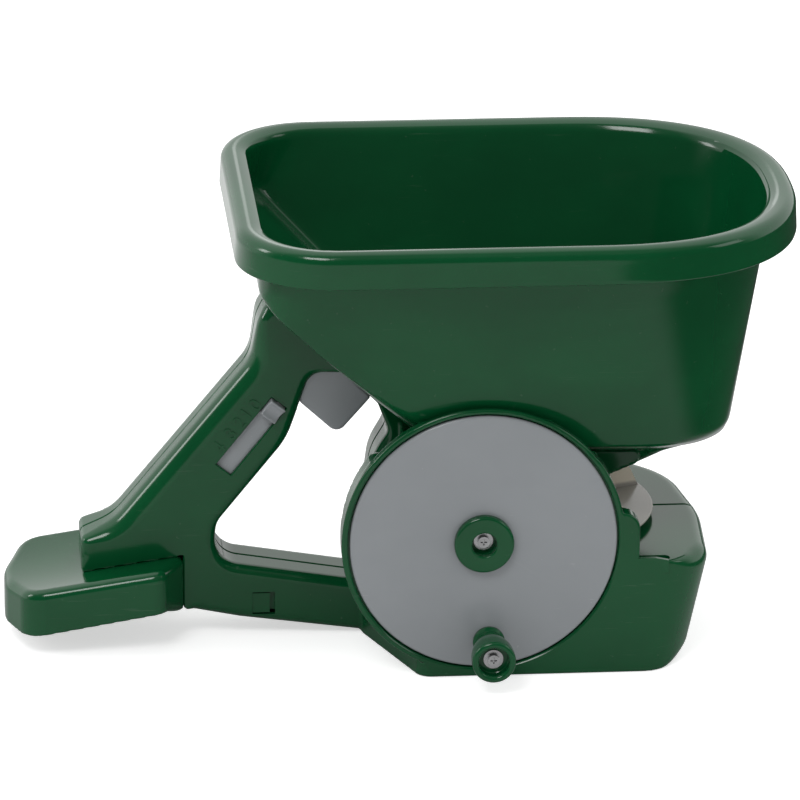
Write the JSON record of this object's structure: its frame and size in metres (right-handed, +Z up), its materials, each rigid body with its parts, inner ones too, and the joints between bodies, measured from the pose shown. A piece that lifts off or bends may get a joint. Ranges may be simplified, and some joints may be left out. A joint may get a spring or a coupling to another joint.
{
  "type": "hand spreader",
  "caption": "Hand-held broadcast spreader: crank wheel, spinner under a hopper, D-shaped grip with trigger and rate selector, arm rest.",
  "frame": {"origin": "on the ground under the crank axle, in the middle plane of the grip and hopper", "axes": "+X forward, away from the arm rest; +Y away from the crank wheel; +Z up"},
  "size_m": [0.372, 0.2, 0.22],
  "materials": {
    "green_gloss_plastic": "dark green moulded plastic with a glossy skin",
    "grey_plastic": "mid grey moulded plastic, satin to glossy",
    "steel": "zinc-plated steel",
    "natural_plastic": "unpigmented acetal",
    "bronze": "sintered bronze"
  },
  "bodies": {
    "frame": {"near_shell": "green_gloss_plastic", "far_shell": "green_gloss_plastic", "arm_rest": "green_gloss_plastic", "hopper": "green_gloss_plastic", "gate_guide": "green_gloss_plastic", "axle_collar": "green_gloss_plastic", "collar_washer": "steel", "collar_screw": "steel", "countershaft_bushes": "bronze", "spinner_bush": "bronze", "shell_screws": "steel", "hopper_screws": "steel", "trigger_spring": "steel"},
    "crank": {"crank_wheel": "grey_plastic", "drive_gear": "natural_plastic", "knob_washer": "steel", "knob_screw": "steel"},
    "knob": {"crank_knob": "green_gloss_plastic"},
    "cross_shaft": {"countershaft": "steel", "drive_pinion": "natural_plastic", "bevel_gear": "natural_plastic", "countershaft_clip": "steel"},
    "rotor": {"spinner_shaft": "steel", "bevel_pinion": "natural_plastic", "spinner": "grey_plastic", "spinner_clip": "steel", "agitator": "grey_plastic"},
    "trigger": {"trigger": "grey_plastic", "gate_plate": "grey_plastic"},
    "selector": {"selector": "grey_plastic"}
  },
  "joints": [
    {"name": "crank_turn", "type": "hinge", "parent": "frame", "child": "crank", "pos_m": [0, 0, 0.0675], "axis": [0, 1, 0], "continuous": true},
    {"name": "knob_turn", "type": "hinge", "parent": "crank", "child": "knob", "pos_m": [0.0029, 0, 0.0178], "axis": [0, 1, 0], "continuous": true},
    {"name": "cross_shaft_turn", "type": "hinge", "parent": "frame", "child": "cross_shaft", "pos_m": [0.027, 0, 0.03533], "axis": [0, 1, 0], "continuous": true},
    {"name": "rotor_turn", "type": "hinge", "parent": "frame", "child": "rotor", "pos_m": [0.027, -0.004, 0], "axis": [0, 0, 1], "continuous": true},
    {"name": "trigger_pull", "type": "slide", "parent": "frame", "child": "trigger", "axis": [-0.7009, 0, 0.7133], "range_m": [0, 0.02], "stiffness_N_per_m": 150, "springref_m": -0.02, "deforming": ["trigger_spring"]},
    {"name": "selector_slide", "type": "slide", "parent": "frame", "child": "selector", "axis": [-0.6198, 0, -0.7848], "range_m": [0, 0.027]}
  ],
  "couplings": [
    {"joint": "cross_shaft_turn", "follows": "crank_turn", "ratio": -3.6667},
    {"joint": "rotor_turn", "follows": "crank_turn", "ratio": -7.3333}
  ]
}
